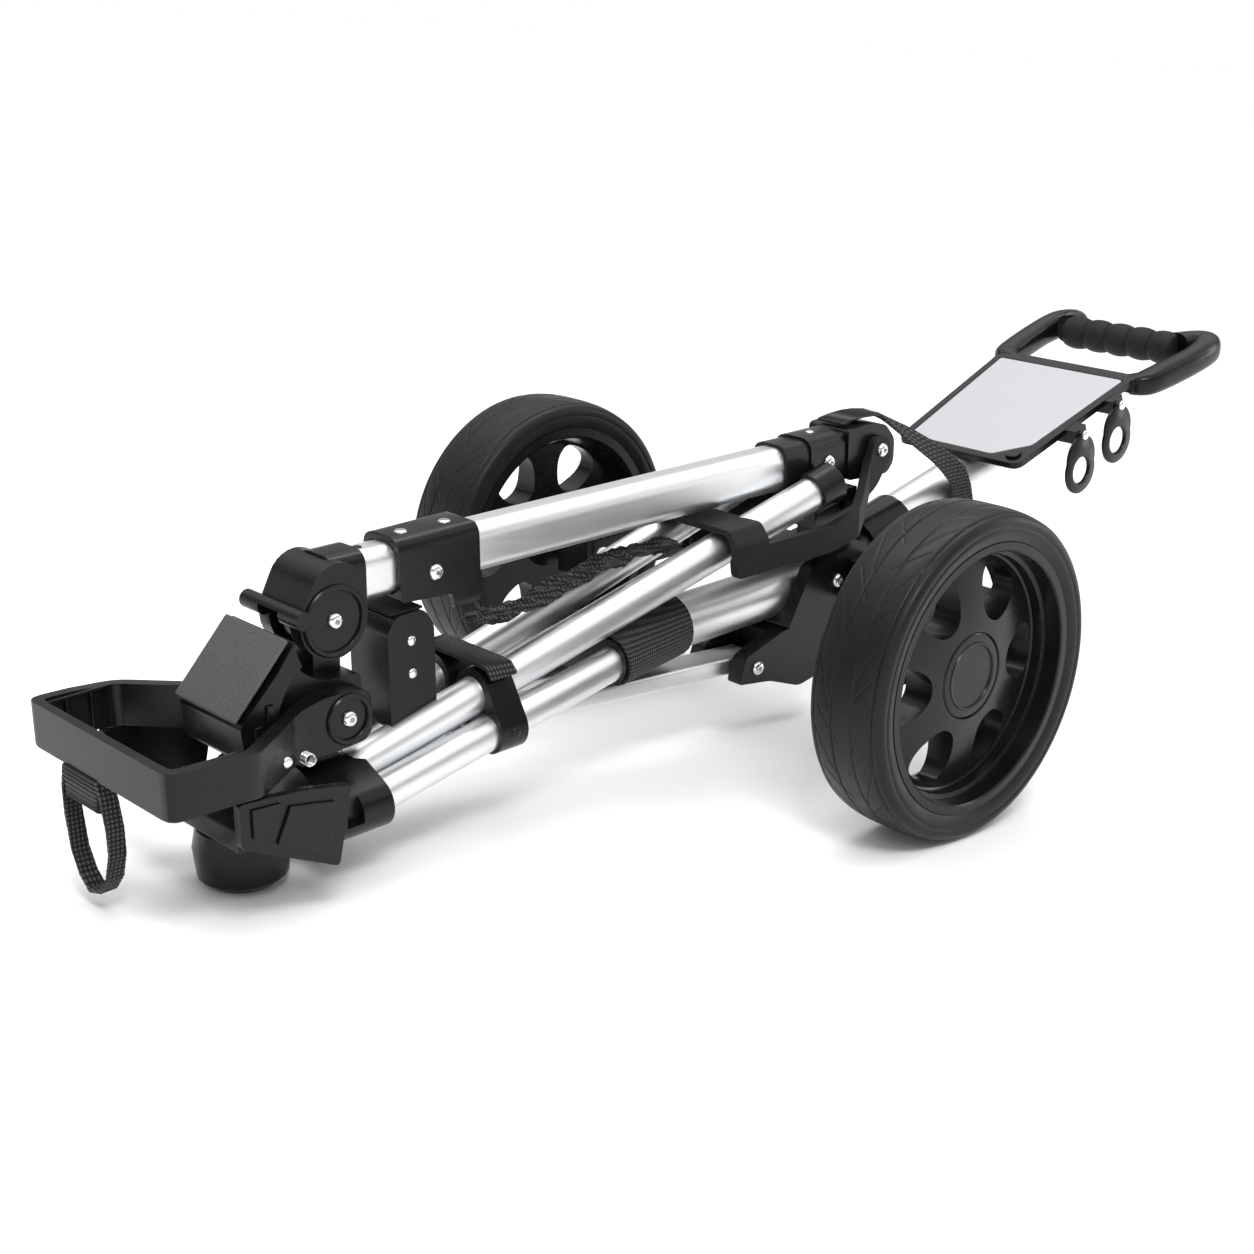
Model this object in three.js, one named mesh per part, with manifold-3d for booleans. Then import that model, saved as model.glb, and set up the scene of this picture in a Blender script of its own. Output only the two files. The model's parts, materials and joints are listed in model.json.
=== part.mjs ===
// Folded two-wheel golf pull cart: one THREE.Group of named, closed meshes, in millimetres.
// +X runs along the cart towards the grip, +Y is the cart's far side, +Z is up.
// The origin is on the floor, under the middle of the cart's bounding box.
// Every place below is measured from the middle of the wheel axle.
// The end of the file tilts the group onto its stand foot and shifts it to the origin.
import * as THREE from "three";
import { ConvexGeometry } from "three/addons/geometries/ConvexGeometry.js";
import { mergeVertices } from "three/addons/utils/BufferGeometryUtils.js";
import Module from "manifold-3d";

const wasm = await Module();
wasm.setup();

// ---------------------------------------------------------------- driving dimensions
const WHEEL_DIAMETER = 250;
const WHEEL_WIDTH = 65.6;
const TRACK = 455.4;
const FIT_GAP = 0.3;

const SPINE_RADIUS = 21.5;
const SPINE_WALL = 2;
const SPINE_Z = -8;
const LEG_RADIUS = 14;
const LOWER_LEG_RADIUS = 13;
const LEG_WALL = 1.6;
const UPPER_TUBE = { width: 32, height: 36, corner: 10, wall: 2 };
const STAY_BAR = { width: 30, height: 15, corner: 3, wall: 1.6 };

const HINGE_A = { x: -402, z: 85 };
const HINGE_B = { x: -407, z: 22 };
const HINGE_C = { x: 154, z: 100 };

const UPPER_TUBE_ENDS = [new THREE.Vector3(-376, 0, 104.3), new THREE.Vector3(132, 0, 97.3)];
const SHAFT_ENDS = [new THREE.Vector3(168, 0, 11.1), new THREE.Vector3(384, 0, 58.2)];
const LOWER_TUBE_ENDS = [new THREE.Vector3(-82, 0, SPINE_Z), new THREE.Vector3(152, 0, SPINE_Z)];
const STAY_BAR_ENDS = [new THREE.Vector3(-290, 0, -28.4), new THREE.Vector3(20, 0, -58)];
const LEG_ENDS = [new THREE.Vector3(-404, -18, -29.3), new THREE.Vector3(74, -34.4, 84.3)];
const LOWER_LEG_ENDS = [new THREE.Vector3(-404, -43.6, -41.5), new THREE.Vector3(-140, -31.6, -4.8)];

const HOOP_FRONT = -570;
const HOOP_HALF_WIDTH = 86;

const DECK_SLOPE = THREE.MathUtils.degToRad(18);
const BOW_SLOPE = THREE.MathUtils.degToRad(12);
const DECK_FRONT = { x: 296, z: 67.5 };
const BOLT_RADIUS = 6;

// The cart leans back on its stand foot by this much; everything below is drawn with the spine level.
const REST_TILT = THREE.MathUtils.degToRad(4.3);
const FOOT = { x: -470, bottom: -88.2 };

// ---------------------------------------------------------------- materials
const aluminium = new THREE.MeshStandardMaterial({ color: 0xd3d4d6, metalness: 1, roughness: 0.3 });
const blackPlastic = new THREE.MeshStandardMaterial({ color: 0x17181a, metalness: 0, roughness: 0.5 });
const greyPlate = new THREE.MeshStandardMaterial({ color: 0xb4b6ba, metalness: 0.6, roughness: 0.5 });
const darkCover = new THREE.MeshStandardMaterial({ color: 0x3a3b3e, metalness: 0.2, roughness: 0.6 });
const tyreRubber = new THREE.MeshStandardMaterial({ color: 0x1b1b1c, metalness: 0, roughness: 0.75 });
const chrome = new THREE.MeshStandardMaterial({ color: 0xdfe0e2, metalness: 1, roughness: 0.15 });
const webbing = new THREE.MeshStandardMaterial({ color: 0x131314, metalness: 0, roughness: 0.95 });
const padRubber = new THREE.MeshStandardMaterial({ color: 0x18181a, metalness: 0, roughness: 0.85 });

// ---------------------------------------------------------------- solids
function toSolid(geometry) {
  const bare = geometry.index ? geometry.toNonIndexed() : geometry.clone();
  bare.deleteAttribute("normal");
  bare.deleteAttribute("uv");
  const merged = mergeVertices(bare, 1e-4);
  return new wasm.Manifold(
    new wasm.Mesh({
      numProp: 3,
      vertProperties: merged.attributes.position.array,
      triVerts: new Uint32Array(merged.index.array),
    }),
  );
}

function toGeometry(solid) {
  const mesh = solid.getMesh();
  const geometry = new THREE.BufferGeometry();
  geometry.setAttribute("position", new THREE.BufferAttribute(new Float32Array(mesh.vertProperties), 3));
  geometry.setIndex(new THREE.BufferAttribute(new Uint32Array(mesh.triVerts), 1));
  return geometry;
}

function join(...geometries) {
  return toGeometry(geometries.map(toSolid).reduce((sum, solid) => sum.add(solid)));
}

function cut(geometry, ...cutters) {
  return toGeometry(cutters.map(toSolid).reduce((rest, solid) => rest.subtract(solid), toSolid(geometry)));
}

function common(a, b) {
  return toGeometry(toSolid(a).intersect(toSolid(b)));
}

// ---------------------------------------------------------------- outlines
function polygon(points) {
  return new THREE.Shape(points.map(([u, v]) => new THREE.Vector2(u, v)));
}

// A polygon whose corners are rounded to one radius.
function roundedPolygon(points, radius) {
  const shape = new THREE.Shape();
  const corners = points.map(([u, v]) => new THREE.Vector2(u, v));
  corners.forEach((corner, i) => {
    const before = corners[(i + corners.length - 1) % corners.length];
    const after = corners[(i + 1) % corners.length];
    const back = before.clone().sub(corner);
    const ahead = after.clone().sub(corner);
    const reach = Math.min(radius, back.length() * 0.45, ahead.length() * 0.45);
    const start = corner.clone().add(back.setLength(reach));
    const end = corner.clone().add(ahead.setLength(reach));
    if (i === 0) shape.moveTo(start.x, start.y);
    else shape.lineTo(start.x, start.y);
    shape.quadraticCurveTo(corner.x, corner.y, end.x, end.y);
  });
  shape.closePath();
  return shape;
}

function roundedRect(width, height, corner) {
  const w = width / 2;
  const h = height / 2;
  return roundedPolygon([[-w, -h], [w, -h], [w, h], [-w, h]], corner);
}

function circle(radius, u = 0, v = 0) {
  return new THREE.Shape().absarc(u, v, radius, 0, 2 * Math.PI, false);
}

// The outline that wraps two circles.
function hullOfCircles(a, b) {
  const points = [];
  const steps = 28;
  for (const c of [a, b]) {
    for (let i = 0; i < steps; i++) {
      const angle = (2 * Math.PI * i) / steps;
      points.push([c.u + c.r * Math.cos(angle), c.v + c.r * Math.sin(angle)]);
    }
  }
  return polygon(convexOutline(points));
}

function convexOutline(points) {
  const sorted = [...points].sort((p, q) => p[0] - q[0] || p[1] - q[1]);
  const turn = (o, p, q) => (p[0] - o[0]) * (q[1] - o[1]) - (p[1] - o[1]) * (q[0] - o[0]);
  const half = (list) => {
    const chain = [];
    for (const p of list) {
      while (chain.length > 1 && turn(chain.at(-2), chain.at(-1), p) <= 1e-9) chain.pop();
      chain.push(p);
    }
    chain.pop();
    return chain;
  };
  return [...half(sorted), ...half(sorted.reverse())];
}

// ---------------------------------------------------------------- building blocks
function extrude(shape, depth, curveSegments) {
  return new THREE.ExtrudeGeometry(shape, { depth, bevelEnabled: false, curveSegments });
}

// An outline drawn in X and Z, extruded along Y.
function sidePlate(shape, yMin, yMax, curveSegments = 6) {
  const geometry = extrude(shape, yMax - yMin, curveSegments);
  geometry.rotateX(Math.PI / 2);
  geometry.translate(0, yMax, 0);
  return geometry;
}

// An outline drawn in Y and Z, extruded along X.
function endPlate(shape, xMin, xMax, curveSegments = 6) {
  const geometry = extrude(shape, xMax - xMin, curveSegments);
  const toX = new THREE.Matrix4().makeBasis(
    new THREE.Vector3(0, 1, 0),
    new THREE.Vector3(0, 0, 1),
    new THREE.Vector3(1, 0, 0),
  );
  geometry.applyMatrix4(toX);
  geometry.translate(xMin, 0, 0);
  return geometry;
}

// An outline drawn in X and Y, extruded along Z.
function floorPlate(shape, zMin, zMax, curveSegments = 6) {
  const geometry = extrude(shape, zMax - zMin, curveSegments);
  geometry.translate(0, 0, zMin);
  return geometry;
}

function box(x, y, z) {
  const geometry = new THREE.BoxGeometry(x[1] - x[0], y[1] - y[0], z[1] - z[0]);
  geometry.translate((x[0] + x[1]) / 2, (y[0] + y[1]) / 2, (z[0] + z[1]) / 2);
  return geometry;
}

// A straight bar of one section between two points; the section's first axis stays level.
function bar(from, to, shape, curveSegments = 6) {
  const along = to.clone().sub(from);
  const length = along.length();
  along.normalize();
  const side = new THREE.Vector3(0, 0, 1).cross(along).normalize();
  const up = along.clone().cross(side);
  const geometry = extrude(shape, length, curveSegments);
  geometry.applyMatrix4(new THREE.Matrix4().makeBasis(side, up, along).setPosition(from));
  return geometry;
}

function roundTube(ends, radius, wall) {
  const section = circle(radius);
  section.holes.push(new THREE.Path().absarc(0, 0, radius - wall, 0, 2 * Math.PI, true));
  return bar(ends[0], ends[1], section, 10);
}

function boxTube(ends, { width, height, corner, wall }) {
  const section = roundedRect(width, height, corner);
  const inner = roundedRect(width - 2 * wall, height - 2 * wall, Math.max(corner - wall, 0.5));
  section.holes.push(inner);
  return bar(ends[0], ends[1], section, 6);
}

// The straight line of a leg, carried past both of its ends, as a cutter with running room.
function legCutter(ends, radius) {
  const along = ends[1].clone().sub(ends[0]).normalize();
  const from = ends[0].clone().addScaledVector(along, -FIT_GAP);
  const to = ends[1].clone().addScaledVector(along, FIT_GAP);
  return bar(from, to, circle(radius + FIT_GAP), 10);
}

function upperLegCutters(spare = 0) {
  return [LEG_ENDS, mirrored(LEG_ENDS)].map((ends) => legCutter(ends, LEG_RADIUS + spare));
}

function lowerLegCutters() {
  return [LOWER_LEG_ENDS, mirrored(LOWER_LEG_ENDS)].map((ends) => legCutter(ends, LOWER_LEG_RADIUS));
}

function at(ends, x) {
  const share = (x - ends[0].x) / (ends[1].x - ends[0].x);
  return ends[0].clone().lerp(ends[1], share);
}

function mirrored(ends) {
  return ends.map((p) => new THREE.Vector3(p.x, -p.y, p.z));
}

function mirrorY(geometry) {
  const flipped = geometry.clone();
  flipped.scale(1, -1, 1);
  const index = flipped.index ? flipped.index.array : null;
  const source = flipped.index ? flipped : mergeVertices(flipped);
  const list = index ?? source.index.array;
  for (let i = 0; i < list.length; i += 3) [list[i + 1], list[i + 2]] = [list[i + 2], list[i + 1]];
  return source;
}

// A turned piece about a line along Y; profile points are [radius, y].
function turned(profile, x, z, segments) {
  const points = profile.map(([r, y]) => new THREE.Vector2(r, y));
  const geometry = new THREE.LatheGeometry(points, segments);
  geometry.translate(x, 0, z);
  return geometry;
}

function rod(x, z, yMin, yMax, radius, segments = 20) {
  return turned([[0, yMin], [radius, yMin], [radius, yMax], [0, yMax]], x, z, segments);
}

// A button head with a hexagon socket, on a face that looks towards -Y.
function buttonHead(x, yFace, z, radius = BOLT_RADIUS) {
  const top = yFace - FIT_GAP;
  const height = radius * 0.55;
  const dome = turned(
    [
      [0, top - height], [radius * 0.55, top - height], [radius * 0.9, top - height * 0.6],
      [radius, top], [0, top],
    ],
    x, z, 18,
  );
  const socket = new THREE.CylinderGeometry(radius * 0.42, radius * 0.42, height, 6);
  socket.translate(x, top - height, z);
  return cut(dome, socket);
}

// ---------------------------------------------------------------- the group
const cart = new THREE.Group();

function add(name, geometry, material) {
  const mesh = new THREE.Mesh(geometry, material);
  mesh.name = name;
  cart.add(mesh);
}

// Adds the near piece and its mirror image on the far side.
function addPair(name, geometry, material) {
  add(name + "_near", geometry, material);
  add(name + "_far", mirrorY(geometry), material);
}

// ---------------------------------------------------------------- wheels
const WHEEL_SEGMENTS = 36;
const WHEEL_Y = TRACK / 2;
const HUB_BORE = 8.05;
const AXLE_RADIUS = 8;

// Profiles are [radius, y] with y measured outwards from the wheel's middle plane, for the near wheel.
function tyre() {
  const half = WHEEL_WIDTH / 2;
  const crownRadius = WHEEL_DIAMETER / 2;
  const outline = [[103, 3 - half], [112, -half], [119, 1 - half], [123.4, 9 - half]];
  for (const groove of [-16, 0, 16]) {
    outline.push([crownRadius, groove - 2.4], [crownRadius - 2.6, groove], [crownRadius, groove + 2.4]);
  }
  outline.push([123.4, half - 9], [119, half - 1], [112, half], [103, half - 3], [103, 3 - half]);
  return turned(outline, 0, 0, WHEEL_SEGMENTS);
}

function rim() {
  const half = WHEEL_WIDTH / 2 - 3;
  const web = 7;
  const bowl = turned(
    [
      [HUB_BORE, -15], [33, -15], [35, -web - 3], [84, -web - 3], [94, -half], [102.6, -half],
      [102.6, half], [94, half], [86, web], [26, web], [22, 24], [HUB_BORE, 24], [HUB_BORE, -15],
    ],
    0, 0, WHEEL_SEGMENTS,
  );
  const windows = [];
  for (let i = 0; i < 6; i++) {
    const outline = roundedPolygon([[-14, 46], [14, 46], [19, 62], [13, 79], [-13, 79], [-19, 62]], 9);
    const window = sidePlate(outline, -14, 12, 2);
    window.rotateY(((i + 0.5) * Math.PI) / 3);
    windows.push(window);
  }
  return cut(bowl, ...windows);
}

function wheelPieces() {
  const cap = turned([[0, -20], [24, -20], [25, -19], [31.6, -18.4], [32.6, -15.3], [0, -15.3]], 0, 0, 28);
  const pieces = [["tyre", tyre(), tyreRubber], ["rim", rim(), blackPlastic], ["hub_cap", cap, blackPlastic]];
  for (const [name, geometry, material] of pieces) {
    geometry.translate(0, -WHEEL_Y, 0);
    addPair(name, geometry, material);
  }
}

// ---------------------------------------------------------------- undercarriage
function spineCutter() {
  return bar(
    LOWER_TUBE_ENDS[0].clone().setX(LOWER_TUBE_ENDS[0].x - FIT_GAP),
    LOWER_TUBE_ENDS[1].clone().setX(LOWER_TUBE_ENDS[1].x + FIT_GAP),
    circle(SPINE_RADIUS + FIT_GAP), 10,
  );
}

function elbowSleeve() {
  const outer = SPINE_RADIUS + 3;
  const level = bar(new THREE.Vector3(137, 0, SPINE_Z), new THREE.Vector3(166, 0, SPINE_Z), circle(outer), 9);
  const rising = bar(new THREE.Vector3(160, 0, 9.4), new THREE.Vector3(210, 0, 20.3), circle(outer), 9);
  const ball = new THREE.SphereGeometry(outer, 16, 10);
  ball.translate(163, 0, 1);
  return cut(join(level, rising, ball), spineCutter(), legCutter(SHAFT_ENDS, SPINE_RADIUS));
}

function axleBlock() {
  const outline = roundedPolygon([[38, -31], [66, 18], [132, 26], [136, 20], [136, -31]], 5);
  const cheeks = sidePlate(outline, -34, 34);
  const channel = box([0, 150], [-SPINE_RADIUS - FIT_GAP, SPINE_RADIUS + FIT_GAP], [SPINE_Z, 60]);
  return cut(cheeks, spineCutter(), channel);
}

function axleArm() {
  const inner = -34 - FIT_GAP;
  const outer = -WHEEL_Y + WHEEL_WIDTH / 2 + 2;
  const outline = roundedPolygon(
    [[108, inner], [108, -148], [-15, -148], [-15, outer], [136, outer], [136, inner]], 6);
  return cut(floorPlate(outline, -20, 15, 3), rod(0, 0, outer - 5, -140, AXLE_RADIUS + 0.05, 24));
}

function yoke() {
  const outline = roundedPolygon(
    [[-16, -66], [-8, -44], [38, -31.3], [96, -31.3], [96, -80], [58, -86], [22, -72]], 5);
  const body = sidePlate(outline, -30, 30);
  const slot = box([-30, 30], [-STAY_BAR.width / 2 - 1, STAY_BAR.width / 2 + 1], [-90, -20]);
  return cut(body, slot);
}

function footBlock() {
  const leg = at(LEG_ENDS, -412);
  const lower = at(LOWER_LEG_ENDS, -412);
  const figure = hullOfCircles({ u: leg.y, v: leg.z, r: 18.5 }, { u: lower.y, v: lower.z, r: 17.5 });
  const window = box([-426, -412], [-90, -54], [-46, -26]);
  const collar = cut(endPlate(figure, -435, -387), window);
  const bridge = endPlate(polygon([[-20, -46], [20, -46], [20, -12], [-20, -12]]), -432, -400);
  return cut(join(collar, bridge, mirrorY(collar)), ...upperLegCutters(), ...lowerLegCutters());
}

function legBracket() {
  const leg = at(LEG_ENDS, -274);
  const lower = at(LOWER_LEG_ENDS, -274);
  const figure = hullOfCircles(
    { u: leg.y, v: leg.z, r: LEG_RADIUS + 4.5 }, { u: lower.y, v: lower.z, r: LOWER_LEG_RADIUS + 4.5 });
  const ring = endPlate(figure, -286, -262);
  const bridge = endPlate(polygon([[-32, -42], [32, -42], [32, -18], [-32, -18]]), -286, -262);
  const stay = bar(
    at(STAY_BAR_ENDS, -300), at(STAY_BAR_ENDS, -200),
    roundedRect(STAY_BAR.width + 2 * FIT_GAP, STAY_BAR.height + 2 * FIT_GAP, STAY_BAR.corner));
  return cut(join(ring, bridge, mirrorY(ring)), stay, ...upperLegCutters(), ...lowerLegCutters());
}

// The strap that ties the two leg brackets across the tops of the legs.
function bracketStrap() {
  const leg = at(LEG_ENDS, -268);
  const top = leg.z + LEG_RADIUS + 4.5 + 0.6;
  const outline = polygon([
    [-44, top - 7], [-38, top - 1], [-28, top], [28, top], [38, top - 1], [44, top - 7],
    [44, top - 4], [38, top + 2], [28, top + 3], [-28, top + 3], [-38, top + 2], [-44, top - 4],
  ]);
  return endPlate(outline, -286, -262);
}

// The casting, from two lower legs on the left to the one spine tube on the right, grown by a margin.
function junctionHull(xMin, xMax, margin) {
  const points = [];
  const steps = 20;
  const lower = at(LOWER_LEG_ENDS, -150);
  for (let i = 0; i < steps; i++) {
    const angle = (2 * Math.PI * i) / steps;
    const [c, s] = [Math.cos(angle), Math.sin(angle)];
    for (const side of [-1, 1]) {
      const r = LOWER_LEG_RADIUS + 4 + margin;
      points.push(new THREE.Vector3(xMin, -side * lower.y + r * c, lower.z + r * s));
    }
    const r = SPINE_RADIUS + 1.5 + margin;
    points.push(new THREE.Vector3(xMax, r * c, SPINE_Z + r * s));
  }
  return new ConvexGeometry(points);
}

function junction() {
  return cut(
    junctionHull(-160, -62, 0), spineCutter(), ...lowerLegCutters(),
  );
}

function junctionBand() {
  const slice = box([-157, -65], [-80, 80], [-60, 60]);
  return cut(
    common(junctionHull(-160, -62, 2.6), slice), junctionHull(-160.5, -61.5, 0.4), ...lowerLegCutters(),
  );
}

function tubeRest() {
  const outline = roundedPolygon([[-358, -8], [-358, 64], [-350, 74], [-326, 74], [-318, 62], [-318, -2]], 4);
  return cut(sidePlate(outline, -22, 22, 3), ...upperLegCutters());
}

function legHead() {
  const socket = bar(at(LEG_ENDS, 60), at(LEG_ENDS, 84), circle(LEG_RADIUS + 3.5), 8);
  const bridge = box([76, 128], [-26, 26], [46, 73]);
  const post = box([100, 134], [-14, 14], [4, 50]);
  const window = rod(110, 60, -60, 60, 4, 10);
  const tubeRoom = box([20, 140], [-21.5, 21.5], [73.2, 140]);
  return cut(join(bridge, post, socket, mirrorY(socket)), window, tubeRoom, spineCutter(), ...upperLegCutters());
}

function undercarriage() {
  add("lower_tube", roundTube(LOWER_TUBE_ENDS, SPINE_RADIUS, SPINE_WALL), aluminium);
  add("handle_shaft", roundTube(SHAFT_ENDS, SPINE_RADIUS, SPINE_WALL), aluminium);
  add("stay_bar", boxTube(STAY_BAR_ENDS, STAY_BAR), aluminium);
  addPair("leg_upper", roundTube(LEG_ENDS, LEG_RADIUS, LEG_WALL), aluminium);
  addPair("leg_lower", roundTube(LOWER_LEG_ENDS, LOWER_LEG_RADIUS, LEG_WALL), aluminium);
  add("elbow_sleeve", elbowSleeve(), blackPlastic);
  add("axle_block", axleBlock(), blackPlastic);
  addPair("axle_arm", axleArm(), blackPlastic);
  addPair("axle", rod(0, 0, -WHEEL_Y - 14.5, -148.3, AXLE_RADIUS, 24), chrome);
  add("stay_yoke", yoke(), blackPlastic);
  add("foot_block", footBlock(), blackPlastic);
  add("leg_bracket", legBracket(), blackPlastic);
  add("stand_foot", standFoot(), blackPlastic);
  add("foot_rim", turnedUp([[16, -46], [29, -46], [29, -41], [16, -41], [16, -46]], FOOT.x, 24), chrome);
  add("bracket_strap", bracketStrap(), webbing);
  add("junction", junction(), blackPlastic);
  add("junction_band", junctionBand(), webbing);
  add("tube_rest", tubeRest(), blackPlastic);
  add("leg_head", legHead(), blackPlastic);
}

// ---------------------------------------------------------------- hub block at the left end
const HUB_HALF_WIDTH = 36;
const TONGUE_HALF_WIDTH = 11;
const COVER_TOP = { x: -443, z: 85 };
const COVER_BOTTOM = { x: -488, z: 38 };

function hubBlock() {
  const outline = roundedPolygon(
    [[-440, 86], [-456, 66], [-487, 36], [-484, 8], [-450, 1], [-384, 1], [-384, 44], [-420, 50]], 4);
  const body = sidePlate(outline, -HUB_HALF_WIDTH, HUB_HALF_WIDTH, 3);
  const elbowRoom = rod(HINGE_A.x, HINGE_A.z, -60, 60, 40, 32);
  const armRoom = rod(HINGE_B.x, HINGE_B.z, -60, -25.6, 53, 32);
  const tongue = join(
    rod(HINGE_A.x, HINGE_A.z, -TONGUE_HALF_WIDTH, TONGUE_HALF_WIDTH, 22, 24),
    box([HINGE_A.x - 10, HINGE_A.x + 12], [-TONGUE_HALF_WIDTH, TONGUE_HALF_WIDTH], [30, HINGE_A.z]),
  );
  return join(cut(body, elbowRoom, armRoom, mirrorY(armRoom)), tongue);
}

// A thin plate lying on the hub block's slanted face.
function slantPlate(top, bottom, halfWidth, lift, thickness) {
  const along = new THREE.Vector2(bottom.x - top.x, bottom.z - top.z).normalize();
  const out = new THREE.Vector2(along.y, -along.x);
  const corner = (p, d) => [p.x + out.x * d, p.z + out.y * d];
  return sidePlate(
    polygon([
      corner(top, lift), corner(bottom, lift),
      corner(bottom, lift + thickness), corner(top, lift + thickness),
    ]),
    -halfWidth, halfWidth,
  );
}

function hub() {
  add("hub_block", hubBlock(), blackPlastic);
  add("hub_cover", slantPlate(COVER_TOP, COVER_BOTTOM, 35.5, 1.5, 3), darkCover);
}

// ---------------------------------------------------------------- upper frame
function upperTubeCutter() {
  const { width, height, corner } = UPPER_TUBE;
  const section = roundedRect(width + 2 * FIT_GAP, height + 2 * FIT_GAP, corner);
  const from = at(UPPER_TUBE_ENDS, UPPER_TUBE_ENDS[0].x - FIT_GAP);
  const to = at(UPPER_TUBE_ENDS, UPPER_TUBE_ENDS[1].x + FIT_GAP);
  return bar(from, to, section);
}

function elbow() {
  const profile = hullOfCircles({ u: HINGE_A.x, v: HINGE_A.z, r: 27 }, { u: -398, v: 101, r: 23 });
  const cheeks = sidePlate(profile, -24, 24);
  const neck = bar(at(UPPER_TUBE_ENDS, -398), at(UPPER_TUBE_ENDS, -371), roundedRect(38, 42, 12));
  const barrel = rod(-431.6, 94, -33, 33, 6.5, 16);
  const reach = TONGUE_HALF_WIDTH + 0.6;
  const tongueRoom = rod(HINGE_A.x, HINGE_A.z, -reach, reach, 23, 24);
  const { x, z } = HINGE_A;
  const openSide = sidePlate(
    polygon([[x, z], [x - 60, z + 20], [x - 60, z - 60], [x + 22, z - 60], [x + 22, z - 8]]), -reach, reach);
  return cut(join(cheeks, neck, barrel), tongueRoom, openSide, upperTubeCutter());
}

function clampSleeve() {
  const outline = roundedPolygon(
    [[-344, 82], [-344, 127.5], [-274, 126], [-274, 66], [-296, 66], [-300, 79]], 3);
  const body = common(
    sidePlate(outline, -20.5, 20.5, 3),
    bar(new THREE.Vector3(-380, 0, 95), new THREE.Vector3(-250, 0, 95), roundedRect(41, 64, 13)),
  );
  const under = box([-310, -260], [-15, 15], [50, 84]);
  return cut(body, upperTubeCutter(), under);
}

function tubeSleeve() {
  const thin = bar(new THREE.Vector3(48, 0, 98.5), new THREE.Vector3(80, 0, 98), roundedRect(37, 41, 12));
  const thick = bar(new THREE.Vector3(76, 0, 98), new THREE.Vector3(119.6, 0, 97.6), roundedRect(40, 45, 13));
  return cut(join(thin, thick), upperTubeCutter());
}

function headFitting() {
  const outline = roundedPolygon(
    [[120, 78], [120, 121], [150, 122], [168, 118], [180, 104], [180, 84], [172, 75]], 5);
  return cut(sidePlate(outline, -22, 22), upperTubeCutter());
}

// Webbing over the head fitting and down the near side of the handle shaft.
function retainingStrap() {
  const stations = [
    [[122, 0, 124.6], 0], [[150, 0, 126.4], 0], [[172, 0, 123.4], 0], [[190, -2, 113], 6],
    [[220, -8, 92], 18], [[246, -17, 74], 40], [[264, -25.4, 57], 74], [[274, -26.6, 40], 88], [[280, -26.6, 20], 90],
  ];
  return ribbon(stations.map(([p, turn]) => ({ centre: new THREE.Vector3(...p), turn })), 22, 2.2);
}

// A flat band through stations; turn swings its width from level across the cart towards the cart's length.
function ribbon(stations, width, thickness) {
  const rows = stations.map(({ centre, turn }, i) => {
    const ahead = stations[Math.min(i + 1, stations.length - 1)].centre;
    const behind = stations[Math.max(i - 1, 0)].centre;
    const along = ahead.clone().sub(behind).normalize();
    const angle = THREE.MathUtils.degToRad(turn);
    const across = new THREE.Vector3(Math.sin(angle), Math.cos(angle), 0);
    across.addScaledVector(along, -across.dot(along)).normalize();
    const normal = along.clone().cross(across);
    const corner = (u, v) =>
      centre.clone().addScaledVector(across, (u * width) / 2).addScaledVector(normal, (v * thickness) / 2);
    return [corner(-1, -1), corner(1, -1), corner(1, 1), corner(-1, 1)];
  });
  const triangles = [];
  const quad = (a, b, c, d) => triangles.push(a, c, b, a, d, c);
  quad(...rows[0]);
  for (let i = 0; i + 1 < rows.length; i++) {
    for (let k = 0; k < 4; k++) {
      const next = (k + 1) % 4;
      quad(rows[i][k], rows[i + 1][k], rows[i + 1][next], rows[i][next]);
    }
  }
  quad(...[...rows.at(-1)].reverse());
  return new THREE.BufferGeometry().setFromPoints(triangles);
}

function upperFrame() {
  add("upper_tube", boxTube(UPPER_TUBE_ENDS, UPPER_TUBE), aluminium);
  add("elbow", elbow(), blackPlastic);
  add("clamp_sleeve", clampSleeve(), blackPlastic);
  add("tube_sleeve", tubeSleeve(), blackPlastic);
  add("head_fitting", headFitting(), blackPlastic);
  add("retaining_strap", retainingStrap(), webbing);
}

// ---------------------------------------------------------------- upper bag rest
const REST_ARM = { inner: 53, outer: 59.5, hingeInner: 23, hingeOuter: 30 };

function restArm() {
  const outline = roundedPolygon(
    [
      [-52, 40], [-54, 58], [-34, 62], [60, 60], [110, 72], [140, 94], [146, 111], [162, 111],
      [167, 94], [150, 70], [116, 48], [60, 38],
    ], 6);
  const { inner, outer, hingeInner, hingeOuter } = REST_ARM;
  const plan = polygon([
    [-60, -outer], [92, -outer], [140, -hingeOuter], [180, -hingeOuter],
    [180, -hingeInner], [138, -hingeInner], [88, -inner], [-60, -inner],
  ]);
  const side = common(sidePlate(outline, -80, 0, 3), floorPlate(plan, 0, 150));
  const padOutline = roundedPolygon(
    [
      [-outer, 48], [-outer, 66], [-50, 77.4], [50, 77.4], [outer, 66], [outer, 48],
      [inner, 48], [inner, 63], [48, 72.6], [-48, 72.6], [-inner, 63], [-inner, 48],
    ], 3);
  return cut(join(endPlate(padOutline, -52, -16, 3), side, mirrorY(side)), ...upperLegCutters(0.5));
}

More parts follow.
